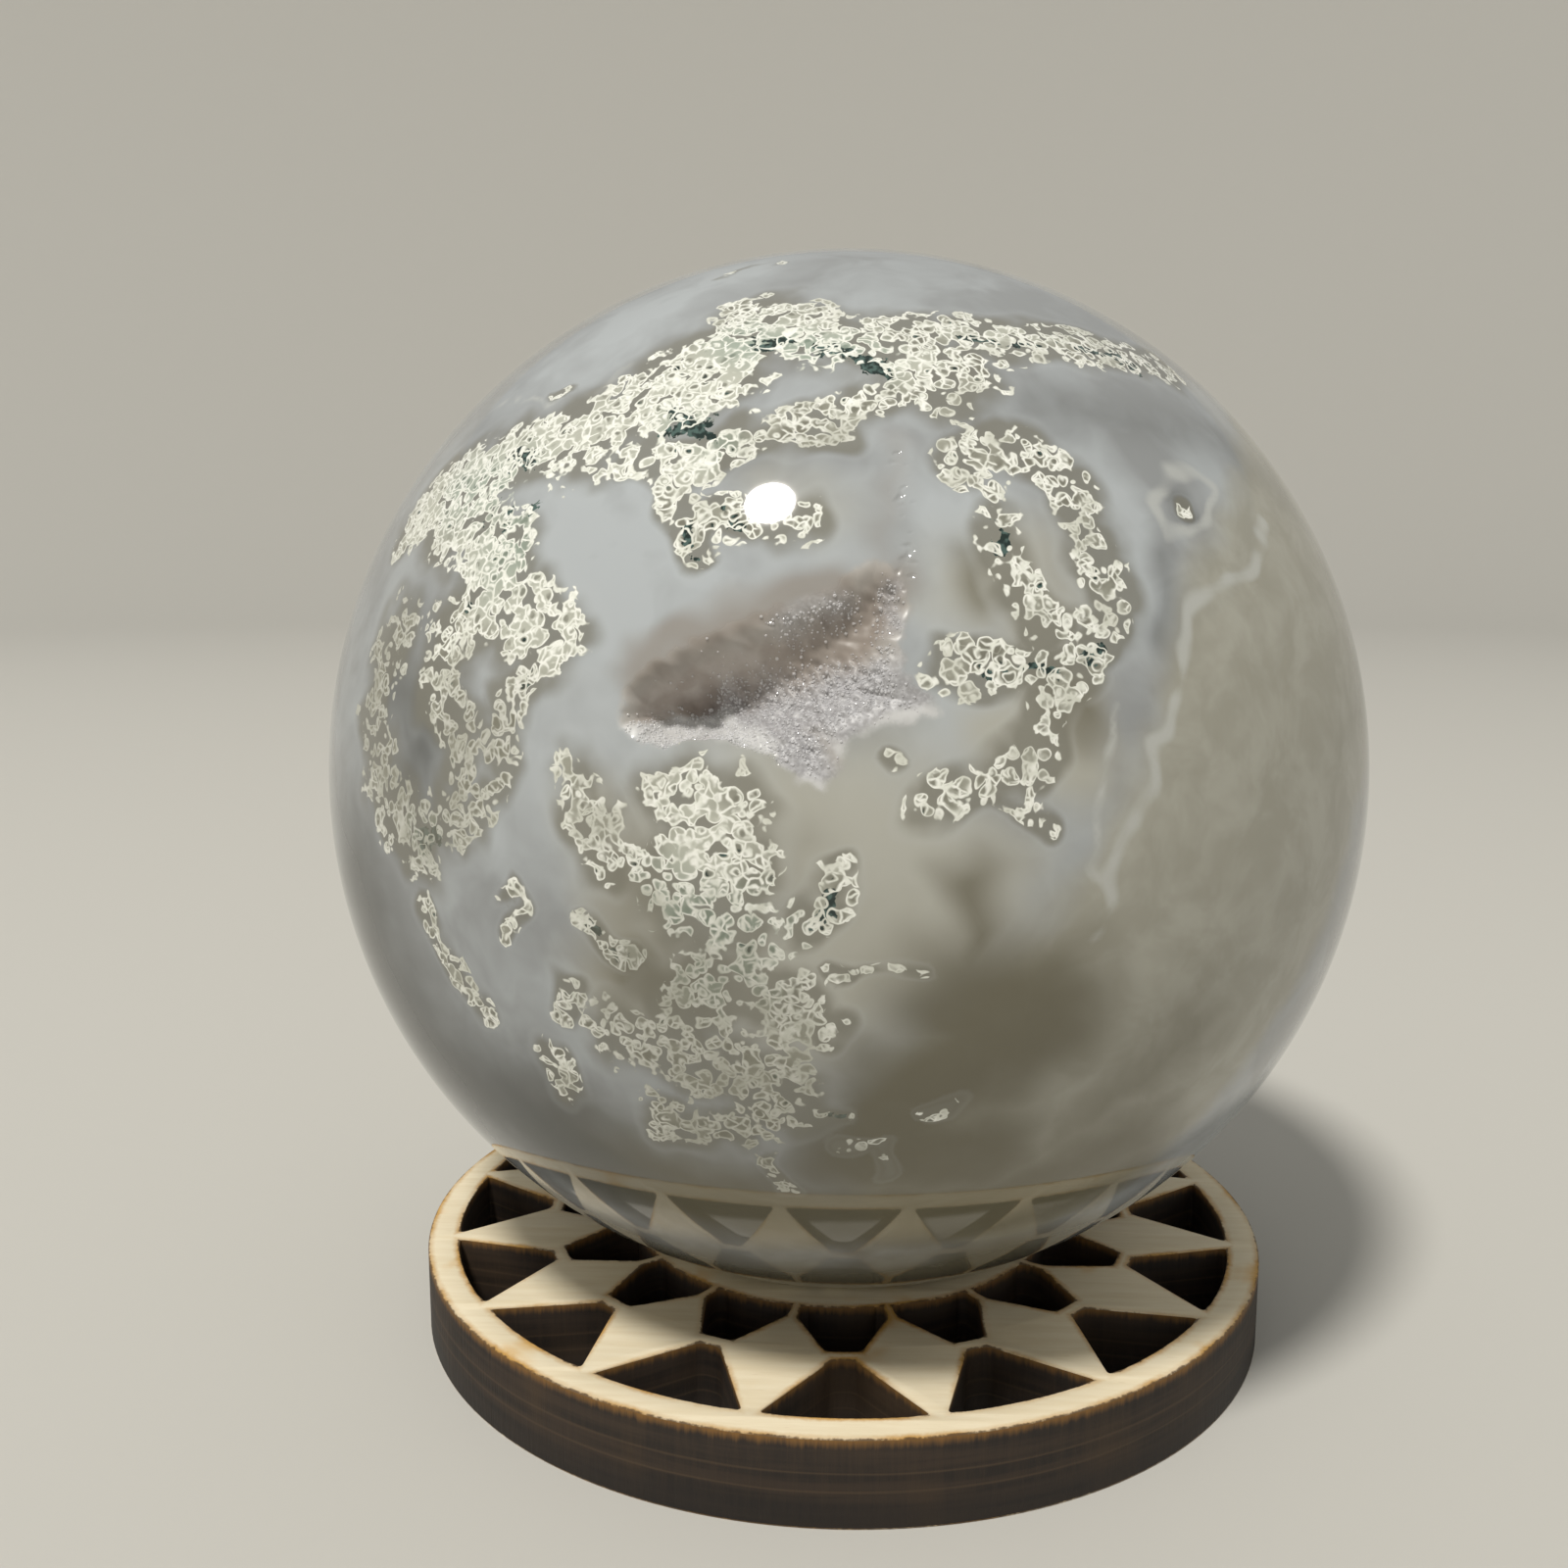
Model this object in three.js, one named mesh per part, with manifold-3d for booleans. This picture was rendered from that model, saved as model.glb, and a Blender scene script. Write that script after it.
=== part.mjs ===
// A polished agate sphere with a crystal-lined cavity, resting in the seat hole of a laser-cut plywood stand.
// Millimetres, +Z up. The origin is the centre of the stand's underside, and -Y is the front.

import * as THREE from 'three';
import { mergeVertices } from 'three/addons/utils/BufferGeometryUtils.js';
import Module from 'manifold-3d';

// Sphere
const SPHERE_RADIUS = 38.1;
const SPHERE_SEGMENTS = 60;
const SPHERE_RINGS = 40;

// Cavity: bowls that overlap in the sphere's front. Turn goes from the front towards +X, rise goes up from
// the sphere's equator, and tilt lifts the bowl's right end. Sink is how far its centre lies below the polish.
const CAVITY_BOWLS = [
  { name: 'main bowl', turn: -5, rise: 16.5, tilt: 17, length: 17, width: 8.2, depth: 6.2, sink: 0 },
  { name: 'left pocket', turn: -12.5, rise: 14.8, tilt: 8, length: 10.5, width: 5.6, depth: 5.4, sink: 1.6 },
  { name: 'lower right bay', turn: 3.5, rise: 12.6, tilt: 4, length: 13, width: 5.6, depth: 3.4, sink: 0 },
  { name: 'upper right bay', turn: 3, rise: 22, tilt: 62, length: 9.5, width: 6.4, depth: 3.6, sink: 0 },
  { name: 'upper seam', turn: 5.6, rise: 30, tilt: 88, length: 10, width: 1.8, depth: 1.1, sink: 0 },
];
const BOWL_SEGMENTS = 20;
const BOWL_RINGS = 12;

// Stand
const STAND_RADIUS = 32.5;
const STAND_THICKNESS = 6;
const SEAT_RADIUS = 13.2;
const SEAT_GAP = 0.1;
const CIRCLE_DIVISIONS = 48;

// Cut pattern: pairs of wedge-shaped holes that meet tip to tip, the same all round. A hole is given by its
// width at each corner's distance from the stand's axis, from its wide base to its narrow tip.
const PATTERN_COUNT = 16;
const PATTERN_TURN = 0.8;
const OUTER_HOLE = [
  { radius: 30.2, width: 10.8 },
  { radius: 23.4, width: 1.5 },
];
const INNER_HOLE = [
  { radius: 16.4, width: 5.85 },
  { radius: 17.9, width: 6.35 },
  { radius: 22.4, width: 2.4 },
];
const HOLE_CORNER_RADIUS = 0.55;
const HOLE_DIVISIONS = 2;

const SPHERE_HEIGHT = STAND_THICKNESS + Math.sqrt(SPHERE_RADIUS ** 2 - SEAT_RADIUS ** 2) + SEAT_GAP;

const wasm = await Module();
wasm.setup();

// A closed geometry as a solid that can be cut.
function toSolid(geometry) {
  const plain = geometry.clone();
  plain.deleteAttribute('normal');
  plain.deleteAttribute('uv');
  const merged = mergeVertices(plain, 1e-4);
  const mesh = new wasm.Mesh({
    numProp: 3,
    vertProperties: new Float32Array(merged.attributes.position.array),
    triVerts: new Uint32Array(merged.index.array),
  });
  return new wasm.Manifold(mesh);
}

function toGeometry(solid) {
  const { vertProperties, triVerts } = solid.getMesh();
  const geometry = new THREE.BufferGeometry();
  geometry.setAttribute('position', new THREE.BufferAttribute(vertProperties, 3));
  geometry.setIndex(new THREE.BufferAttribute(triVerts, 1));
  geometry.computeVertexNormals();
  return geometry;
}

// A ball with its poles on Z.
function ballGeometry(radius, segments, rings) {
  return new THREE.SphereGeometry(radius, segments, rings).rotateX(Math.PI / 2);
}

// One bowl of the cavity: an ellipsoid on the sphere's skin, long axis along the surface.
function bowlGeometry({ turn, rise, tilt, length, width, depth, sink }) {
  const { degToRad } = THREE.MathUtils;
  const placed = new THREE.Matrix4()
    .makeRotationZ(degToRad(turn))
    .multiply(new THREE.Matrix4().makeRotationX(degToRad(-rise)))
    .multiply(new THREE.Matrix4().makeTranslation(0, sink - SPHERE_RADIUS, 0))
    .multiply(new THREE.Matrix4().makeRotationY(degToRad(-tilt)))
    .multiply(new THREE.Matrix4().makeScale(length / 2, depth, width / 2));
  return ballGeometry(1, BOWL_SEGMENTS, BOWL_RINGS).applyMatrix4(placed);
}

function sphereGeometry() {
  let solid = toSolid(ballGeometry(SPHERE_RADIUS, SPHERE_SEGMENTS, SPHERE_RINGS));
  for (const bowl of CAVITY_BOWLS) {
    solid = solid.subtract(toSolid(bowlGeometry(bowl)));
  }
  return toGeometry(solid);
}

// The outline of a wedge-shaped hole on the +X axis: rounded corners, straight flanks and tip, and a base
// that follows the ring it borders.
function holePoints(stations) {
  const halfAngle = ({ radius, width }) => Math.asin(width / 2 / radius);
  const corner = (station, side) => new THREE.Vector2(station.radius, 0)
    .rotateAround(new THREE.Vector2(), side * halfAngle(station));
  const towards = (from, to) => to.clone().sub(from).setLength(HOLE_CORNER_RADIUS).add(from);

  const base = stations[0];
  const crest = new THREE.Vector2(base.radius / Math.cos(halfAngle(base)), 0);
  const lowFlank = stations.map((station) => corner(station, -1));
  const highFlank = stations.map((station) => corner(station, 1)).reverse();
  const corners = [crest, ...lowFlank, ...highFlank, crest];

  const path = new THREE.Path();
  for (let index = 1; index < corners.length - 1; index += 1) {
    const point = corners[index];
    const arrive = towards(point, corners[index - 1]);
    const leave = towards(point, corners[index + 1]);
    if (index === 1) {
      path.moveTo(arrive.x, arrive.y);
    } else {
      path.lineTo(arrive.x, arrive.y);
    }
    path.quadraticCurveTo(point.x, point.y, leave.x, leave.y);
  }
  const start = path.curves[0].getPoint(0);
  path.quadraticCurveTo(crest.x, crest.y, start.x, start.y);
  return path.getPoints(HOLE_DIVISIONS);
}

function turnedPath(points, angle) {
  const centre = new THREE.Vector2();
  return new THREE.Path(points.map((point) => point.clone().rotateAround(centre, angle)));
}

function standGeometry() {
  const board = new THREE.Shape().absarc(0, 0, STAND_RADIUS, 0, 2 * Math.PI, false);
  const seat = new THREE.Path().absarc(0, 0, SEAT_RADIUS, 0, 2 * Math.PI, true);
  board.holes.push(seat);
  const patternStart = THREE.MathUtils.degToRad(PATTERN_TURN) - Math.PI / 2;
  for (const hole of [OUTER_HOLE, INNER_HOLE]) {
    const points = holePoints(hole);
    for (let index = 0; index < PATTERN_COUNT; index += 1) {
      board.holes.push(turnedPath(points, patternStart + (index * 2 * Math.PI) / PATTERN_COUNT));
    }
  }
  return new THREE.ExtrudeGeometry(board, {
    depth: STAND_THICKNESS,
    bevelEnabled: false,
    curveSegments: CIRCLE_DIVISIONS,
  });
}

const agateSphere = new THREE.Mesh(
  sphereGeometry(),
  new THREE.MeshStandardMaterial({ color: 0xa3a3a0, roughness: 0.08, metalness: 0 }),
);
agateSphere.name = 'agate_sphere';
agateSphere.position.z = SPHERE_HEIGHT;

const laserCutStand = new THREE.Mesh(
  standGeometry(),
  new THREE.MeshStandardMaterial({ color: 0xd9c9a6, roughness: 0.75, metalness: 0 }),
);
laserCutStand.name = 'laser_cut_stand';

const ornament = new THREE.Group();
ornament.add(agateSphere, laserCutStand);

export default ornament;
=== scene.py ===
"""Looks of a moss agate ball with a crystal-lined cavity, resting in a round laser-cut plywood stand."""

import math

import bpy
import numpy as np
from mathutils import Matrix, Vector


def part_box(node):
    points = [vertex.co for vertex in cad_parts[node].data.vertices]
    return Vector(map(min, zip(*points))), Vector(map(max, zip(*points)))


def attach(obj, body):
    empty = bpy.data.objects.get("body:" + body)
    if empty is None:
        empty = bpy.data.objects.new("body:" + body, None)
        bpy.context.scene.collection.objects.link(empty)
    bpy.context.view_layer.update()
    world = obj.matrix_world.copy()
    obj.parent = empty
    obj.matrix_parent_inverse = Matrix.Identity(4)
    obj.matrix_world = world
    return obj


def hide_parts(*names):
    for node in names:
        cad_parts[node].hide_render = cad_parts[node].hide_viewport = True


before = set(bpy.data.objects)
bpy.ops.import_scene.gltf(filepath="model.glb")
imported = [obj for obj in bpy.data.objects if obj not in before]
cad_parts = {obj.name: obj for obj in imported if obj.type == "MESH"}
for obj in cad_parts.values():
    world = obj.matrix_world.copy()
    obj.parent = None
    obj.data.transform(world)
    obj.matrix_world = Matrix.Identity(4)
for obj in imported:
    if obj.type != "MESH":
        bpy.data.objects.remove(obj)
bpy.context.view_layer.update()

MM = 0.001

# Places taken from the frame
BALL_LOW, BALL_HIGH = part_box("agate_sphere")
BALL_CENTRE = (BALL_LOW + BALL_HIGH) / 2
BALL_RADIUS = (BALL_HIGH.z - BALL_LOW.z) / 2
STAND_LOW, STAND_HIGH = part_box("laser_cut_stand")
STAND_RADIUS = (STAND_HIGH.x - STAND_LOW.x) / 2
STAND_THICKNESS = STAND_HIGH.z - STAND_LOW.z

# The photograph's camera, fitted to the stand's pattern and the ball's outline
PHOTO_PIXELS = 1600
FOCAL_PIXELS = 1568
SENSOR_WIDTH = 36.0
CLIP_START = 5 * MM
CAMERA_PLACE = Vector((0.0001, -0.1176, 0.0596))
CAMERA_PITCH = math.radians(-9.13)
CAMERA_YAW = math.radians(2.25)
CAMERA_TURN = Matrix.Rotation(CAMERA_YAW, 3, "Z") @ Matrix.Rotation(math.pi / 2 + CAMERA_PITCH, 3, "X")

# Cut pattern of the stand: corner radius and width pairs, from a hole's wide base to its narrow tip
SEAT_RADIUS = 13.2 * MM
PATTERN_COUNT = 16
PATTERN_PITCH = 2 * math.pi / PATTERN_COUNT
PATTERN_START = math.radians(0.8) - math.pi / 2
OUTER_HOLE = [(30.2 * MM, 10.8 * MM), (23.4 * MM, 1.5 * MM)]
INNER_HOLE = [(16.4 * MM, 5.85 * MM), (17.9 * MM, 6.35 * MM), (22.4 * MM, 2.4 * MM)]
HOLE_CORNER = 0.55 * MM
EDGE_BEVEL = 0.1 * MM
# Heights of the glue lines in millimetres, and relief of the face's grain and of the laser's streaks
GLUE_LINES = (2.5, 3.65)
GRAIN_RELIEF = 0.03 * MM
STREAK_RELIEF = 0.08 * MM
# Points round the outlines, the tilt that parts walls from faces, and the crease angle
BOARD_DIVISIONS = 192
SEAT_DIVISIONS = 96
BASE_DIVISIONS = 8
CORNER_DIVISIONS = 5
WALL_TILT = 0.3
STAND_CREASE = math.radians(35)

# Mesh density of the ball: the whole, then the side with the cavity, then the cavity itself
BALL_DETAIL = 7
FRONT_CAP = math.radians(52)
CAVITY_REFINEMENTS = 2
BALL_CREASE = math.radians(24)
CAVITY_MARGIN = 0.6 * MM

# The cavity's mouth, clockwise from its left tip, as pixels of the photograph
CAVITY_MOUTH = [
    (630, 727), (637, 696), (663, 675), (715, 647), (761, 627), (801, 613), (844, 601), (867, 584),
    (892, 571), (922, 586), (931, 616), (921, 655), (924, 685), (946, 707), (963, 729), (932, 738),
    (900, 743), (870, 752), (860, 771), (853, 795), (838, 806), (812, 798), (790, 777), (769, 763),
    (742, 753), (702, 754), (677, 763), (655, 757), (634, 742),
]
# The cavity's deepest line: pixel and depth in millimetres
CAVITY_SPINE = [((668, 728), 3.0), ((708, 722), 4.0), ((770, 704), 3.0), ((840, 668), 2.0), ((893, 622), 1.2)]
# How sheer the wall is under the left lip, and how wide the change from polish to crystal is
CAVITY_LIP_SLOPE = 0.35
CAVITY_RIM = 1.3 * MM
# The sparkling seam that runs up from the cavity: pixels, half width and depth in millimetres
CAVITY_SEAM = [(921, 600), (926, 560), (921, 520), (917, 488), (918, 462)]
SEAM_HALF_WIDTH = 0.6
SEAM_DEPTH = 0.08
SEAM_SEED = 3
# How far the mouth strays from its outline, over what length, and where its steep lower lip starts and ends
MOUTH_STRAY = 0.10
MOUTH_STRAY_SIZE = 1.6
MOUTH_STRAY_SEEDS = (1, 2)
MOUTH_SIDE = 0.7
LIP_LEAD = 1.5
LIP_TAIL = 2
# Lumps of the lining, in millimetres, and the depth from which it is lined with crystals
CRUMBLE_SIZE = 0.6
LINING_ROUGHNESS = 0.10
LINING_SEED = 4
LINED_DEPTH = 0.02

# Strokes of moss: pixels of the photograph, half width in millimetres and density
MOSS_STROKES = [
    ([(425, 530), (470, 485), (560, 452), (640, 428)], 2.3, 1.0),
    ([(600, 440), (660, 412), (720, 372), (790, 332)], 3.0, 1.0),
    ([(780, 330), (850, 345), (920, 352), (962, 384)], 2.5, 1.0),
    ([(650, 465), (700, 478), (765, 447), (850, 432), (908, 402)], 1.3, 0.9),
    ([(688, 500), (706, 540), (716, 570)], 0.9, 0.9),
    ([(738, 522), (766, 538)], 0.9, 0.9),
    ([(795, 542), (826, 530)], 1.2, 0.8),
    ([(950, 334), (1010, 345), (1110, 354), (1182, 374)], 1.7, 1.0),
    ([(450, 520), (505, 560), (505, 605), (470, 645)], 2.4, 1.0),
    ([(405, 640), (385, 720), (390, 800), (430, 862)], 2.2, 0.8),
    ([(440, 700), (480, 760), (455, 845)], 1.7, 0.8),
    ([(532, 630), (560, 650)], 2.2, 1.0),
    ([(535, 690), (508, 740), (512, 790), (472, 850)], 1.3, 0.9),
    ([(985, 468), (1040, 455), (1085, 485), (1108, 530), (1130, 590), (1135, 640)], 1.5, 0.95),
    ([(1015, 525), (1028, 570), (1045, 612), (1070, 640)], 1.3, 0.9),
    ([(972, 682), (1030, 684), (1100, 690)], 1.2, 1.0),
    ([(1095, 672), (1136, 654)], 1.0, 1.0),
    ([(1066, 735), (1056, 780), (1010, 796), (942, 820)], 1.2, 0.95),
    ([(1012, 800), (1050, 826), (1066, 848)], 0.6, 0.9),
    ([(588, 795), (606, 840), (620, 872)], 1.6, 0.9),
    ([(690, 812), (745, 830), (745, 880), (690, 892)], 2.0, 0.95),
    ([(690, 930), (760, 945)], 1.7, 0.9),
    ([(690, 1030), (740, 1005), (800, 1020)], 1.8, 0.9),
    ([(640, 1060), (700, 1082), (790, 1100)], 2.0, 0.9),
    ([(680, 1142), (745, 1152), (820, 1130)], 1.5, 0.85),
    ([(820, 946), (835, 925), (856, 895)], 1.0, 1.0),
    ([(824, 1050), (852, 1050)], 1.0, 1.0),
    ([(595, 935), (620, 962), (646, 978)], 0.6, 1.0),
    ([(845, 986), (870, 997), (905, 985), (945, 986)], 0.35, 0.8),
    ([(435, 935), (460, 985), (495, 1028)], 0.9, 0.9),
    ([(508, 912), (525, 900), (531, 925), (520, 945)], 0.6, 0.9),
    ([(582, 1005), (576, 1032)], 0.9, 0.85),
    ([(565, 1080), (576, 1110)], 1.1, 0.85),
    ([(835, 1132), (860, 1138)], 0.5, 0.9),
    ([(948, 1135), (975, 1128)], 0.5, 0.8),
    ([(785, 1180), (805, 1212)], 0.5, 0.8),
    ([(822, 1048), (838, 1036), (855, 1048), (842, 1062), (824, 1056)], 0.45, 1.0),
    ([(860, 1172), (905, 1165), (900, 1200)], 0.5, 0.8),
    ([(700, 545), (712, 560), (722, 572)], 0.6, 1.0),
    ([(736, 285), (770, 271), (800, 268)], 0.4, 0.8),
    ([(566, 402), (578, 398)], 0.5, 0.85),
    ([(1203, 508), (1207, 524)], 0.6, 0.9),
    ([(905, 774), (915, 774)], 0.45, 0.85),
]
# Moss on the sides that the photograph doesn't show: where they start, patch size in millimetres and share
FAR_START = math.radians(66)
FAR_FADE = 0.25
FAR_MOSS_SIZE = 24.0
FAR_MOSS_SHARE = 0.22
FAR_MOSS_SEED = 11
# Tints on those sides: patch size in millimetres, and a seed for each kind
FAR_TINT_SIZE = 34.0
FAR_TINT_SEEDS = {"olive": 12, "quartz": 13, "milky": 14, "veil": 15}
# How far strokes stray from their drawn lines, and over what length, in millimetres
STROKE_SWAY = 0.35
STROKE_SWAY_SIZE = 4.0
STROKE_SWAY_SEEDS = (21, 22, 23)
# Waves that make up one soft noise
NOISE_WAVES = 9
# Dark green cores inside the moss, as the strokes above
CORE_STROKES = [
    ([(770, 350), (800, 352)], 0.9, 1.0),
    ([(846, 356), (870, 366)], 0.8, 1.0),
    ([(880, 372), (905, 378)], 0.7, 1.0),
    ([(690, 430), (720, 440)], 0.9, 1.0),
    ([(525, 468), (545, 472)], 1.0, 0.7),
    ([(505, 530), (535, 530)], 1.3, 0.6),
    ([(985, 352), (1040, 350), (1110, 356), (1162, 378)], 0.45, 1.0),
    ([(430, 855), (444, 858)], 0.7, 0.9),
    ([(826, 938), (850, 905)], 0.45, 1.0),
    ([(828, 1048), (848, 1054)], 0.4, 1.0),
    ([(600, 942), (640, 975)], 0.3, 1.0),
    ([(1108, 668), (1134, 656)], 0.5, 0.9),
    ([(990, 680), (1085, 690)], 0.35, 0.8),
    ([(476, 625), (480, 634)], 0.5, 0.9),
    ([(1016, 535), (1026, 556)], 0.5, 0.8),
    ([(840, 1134), (858, 1138)], 0.3, 1.0),
    ([(742, 526), (762, 536)], 0.4, 0.8),
    ([(700, 545), (716, 570)], 0.35, 0.8),
    ([(1204, 512), (1206, 522)], 0.25, 0.8),
]
# Pale green washes in the moss
GREEN_STROKES = [
    ([(690, 940), (770, 960), (730, 990)], 3.0, 0.8),
    ([(480, 500), (540, 500), (520, 560)], 3.0, 0.7),
    ([(760, 350), (880, 365)], 2.4, 0.8),
    ([(430, 850), (450, 870)], 1.6, 0.8),
    ([(690, 430), (740, 450)], 2.0, 0.6),
]
# Where the lace is closest and whitest
DENSE_STROKES = [
    ([(440, 520), (520, 470), (620, 440), (700, 400), (790, 345)], 3.0, 1.0),
    ([(780, 330), (850, 345), (940, 372)], 2.0, 0.7),
    ([(480, 560), (510, 600)], 2.4, 0.9),
    ([(535, 630), (560, 650)], 2.2, 1.0),
    ([(650, 470), (710, 470)], 1.6, 0.8),
    ([(700, 820), (735, 850), (700, 880)], 2.0, 0.7),
    ([(980, 345), (1060, 340)], 1.6, 0.7),
]
# Moss that lies deeper in the stone and shows through it dimly
VEIL_STROKES = [
    ([(660, 1010), (740, 1030), (700, 1100), (790, 1120), (740, 1170), (830, 1190)], 5.0, 1.0),
    ([(400, 640), (385, 740), (440, 840), (480, 760)], 4.2, 1.0),
    ([(600, 800), (620, 860)], 2.0, 0.5),
    ([(800, 470), (850, 450)], 2.0, 0.6),
]
# Milky blue-white chalcedony, smoky quartz, olive clouds, dark tones with some painted shade, warm and mauve
# stains, growth lines
MILKY_STROKES = [
    ([(600, 540), (640, 620), (600, 720), (560, 800)], 4.2, 0.9),
    ([(660, 560), (760, 600), (860, 560)], 3.0, 0.8),
    ([(960, 520), (960, 640), (985, 740)], 2.6, 0.9),
    ([(650, 780), (760, 810), (860, 850), (930, 880)], 3.0, 0.8),
    ([(1120, 470), (1150, 525), (1162, 580), (1164, 655)], 1.4, 1.0),
    ([(1225, 470), (1245, 500)], 1.2, 0.8),
    ([(560, 380), (640, 330), (760, 280)], 3.0, 0.8),
]
QUARTZ_STROKES = [([(1360, 560), (1325, 720), (1285, 880), (1200, 1030), (1060, 1160)], 9.0, 1.0)]
OLIVE_AND_PAINTED_SHADE_STROKES = [
    ([(990, 1030), (1060, 1040), (930, 1120), (880, 1180), (1000, 1180)], 4.2, 1.0),
    ([(985, 900), (1005, 950), (985, 1000)], 1.8, 0.7),
    ([(650, 990), (700, 1010)], 2.6, 0.8),
    ([(640, 880), (650, 930)], 2.0, 0.6),
    ([(985, 560), (1000, 610)], 1.4, 0.6),
    ([(1080, 700), (1110, 740)], 1.6, 0.7),
    ([(820, 860), (800, 900)], 2.4, 0.35),
    # Along the ball's bottom: partly veiled olive moss, partly painted shade and painted reflection of a dark
    # surface below
    ([(600, 1180), (720, 1222), (880, 1245), (1040, 1225), (1140, 1180)], 4.5, 1.0),
    ([(700, 1290), (860, 1310), (1000, 1290)], 6.0, 1.0),
    ([(1210, 1060), (1140, 1120), (1050, 1180)], 4.0, 0.55),
]
DARK_TONE_AND_PAINTED_SHADE_STROKES = [
    ([(1010, 400), (1090, 420), (1200, 440), (1290, 480)], 3.4, 0.42),
    ([(1182, 560), (1190, 600), (1182, 650)], 1.2, 0.5),
    ([(1200, 505), (1210, 525)], 1.0, 0.95),
    # The lower-left limb: painted shade where the ball turns from the lamp, and a painted reflection of a
    # dark surface below
    ([(365, 900), (390, 980), (450, 1080), (560, 1160)], 5.5, 1.0),
    ([(420, 620), (450, 660)], 2.2, 0.5),
    ([(400, 690), (440, 740), (410, 830)], 3.2, 0.8),
    ([(745, 460), (770, 470)], 0.9, 0.6),
]
WARM_STROKES = [
    ([(800, 850), (900, 865), (960, 920), (880, 960), (820, 1000)], 5.0, 1.0),
    ([(1000, 600), (1050, 580), (1060, 640)], 3.0, 0.8),
    ([(640, 870), (660, 960), (640, 1010)], 3.0, 0.9),
    ([(600, 820), (620, 870)], 2.0, 0.8),
    ([(1020, 760), (1080, 720), (1100, 780)], 2.4, 0.9),
    ([(790, 500), (850, 520)], 2.0, 0.5),
]
MAUVE_STROKES = [
    ([(650, 672), (720, 640), (780, 616), (850, 594)], 1.1, 1.0),
    ([(840, 664), (880, 634), (905, 604)], 1.4, 1.0),
    ([(890, 580), (900, 540), (912, 490), (918, 450)], 1.1, 0.42),
]
LINE_STROKES = [
    ([(1285, 530), (1280, 575), (1262, 591), (1235, 600), (1215, 620), (1207, 660), (1210, 700), (1200, 720),
      (1180, 750), (1170, 810), (1150, 855), (1135, 890), (1135, 920), (1120, 955)], 0.42, 1.0),
    ([(1145, 720), (1135, 760), (1122, 810), (1117, 870), (1130, 895)], 0.3, 0.8),
    ([(1178, 505), (1190, 482), (1215, 478), (1238, 498), (1236, 528), (1214, 548), (1190, 542), (1178, 520),
      (1178, 505)], 0.40, 1.0),
    ([(495, 425), (520, 408), (560, 412), (610, 398), (650, 372)], 0.35, 0.8),
]
# Sugary crystal crust in the cavity, and its white lip
SUGAR_STROKES = [
    ([(752, 738), (800, 730), (860, 716), (915, 706)], 1.7, 1.0),
    ([(800, 760), (830, 785), (842, 798)], 1.1, 1.0),
    ([(900, 690), (935, 712)], 1.0, 1.0),
    ([(912, 600), (918, 640)], 0.7, 0.7),
    ([(800, 636), (850, 618)], 0.9, 0.5),
]
LIP_STROKES = [
    ([(632, 740), (672, 756), (690, 746), (732, 738), (760, 750), (778, 764)], 0.8, 1.0),
    ([(792, 784), (812, 797), (848, 803)], 0.6, 1.0),
    ([(860, 756), (885, 742), (922, 730), (955, 728)], 0.6, 0.9),
]

# What each list of strokes marks on the ball
STROKES = {
    "core": CORE_STROKES, "dense": DENSE_STROKES, "veil": VEIL_STROKES, "mauve": MAUVE_STROKES,
    "warm": WARM_STROKES, "sugar": SUGAR_STROKES, "lip": LIP_STROKES, "green": GREEN_STROKES,
    "milky": MILKY_STROKES, "quartz": QUARTZ_STROKES, "olive": OLIVE_AND_PAINTED_SHADE_STROKES, "shade": DARK_TONE_AND_PAINTED_SHADE_STROKES,
    "line": LINE_STROKES, "moss": MOSS_STROKES,
}

# Crystals of the cavity
CRYSTAL_COUNT = 2400
CRYSTAL_SIDES = 6
CRYSTAL_RADIUS = (0.035 * MM, 0.15 * MM)
CRYSTAL_SPARSE = 0.015
CRYSTAL_SPREAD = (1.4, 3.0)
CRYSTAL_CAP = 1.1
CRYSTAL_HEIGHT = 0.45
CRYSTAL_TILT = math.radians(38)
CRYSTAL_SEED = 7

# Light and floor
LAMP_DIRECTION = Vector((-0.2227, -0.4288, 0.8769))
LAMP_DISTANCE = 2.4
LAMP_SIZE = 0.36
LAMP_POWER = 47.0
LAMP_COLOUR = (1.0, 0.97, 0.90)
AMBIENT_LIGHT = (0.60, 0.60, 0.57)
AMBIENT_STRENGTH = 0.60
FLOOR_RADIUS = 1.0
FLOOR_LEVEL = -0.02 * MM
FLOOR_DIVISIONS = 128
SWEEP_RADIUS = 0.8
SWEEP_STEPS = 16
FLOOR_COLOUR = (0.56, 0.548, 0.518)
FLOOR_ROUGHNESS = 0.85
FLOOR_SHINE = 0.2

# Colours of the stone, its moss, the cavity's lining and the board. A pair runs from low to high noise.
GREY_STONE = (0.290, 0.302, 0.312)
MILKY_STONE = (0.430, 0.458, 0.482)
WARM_STONE = (0.425, 0.412, 0.350)
SMOKY_QUARTZ = ((0.325, 0.315, 0.265), (0.395, 0.388, 0.338))
# Olive clouds, used also as painted shade and painted reflection along the ball's bottom
OLIVE_CLOUD_AND_PAINTED_SHADE = (0.125, 0.112, 0.072)
# Dark stone tone, used also as painted shade and painted reflection on the lower-left limb
DARK_TONE_AND_PAINTED_SHADE = (0.085, 0.088, 0.084)
MAUVE_STAIN = (0.270, 0.240, 0.212)
GROWTH_LINE = (0.500, 0.512, 0.500)
PALE_BAND = (0.480, 0.505, 0.520)
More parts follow.
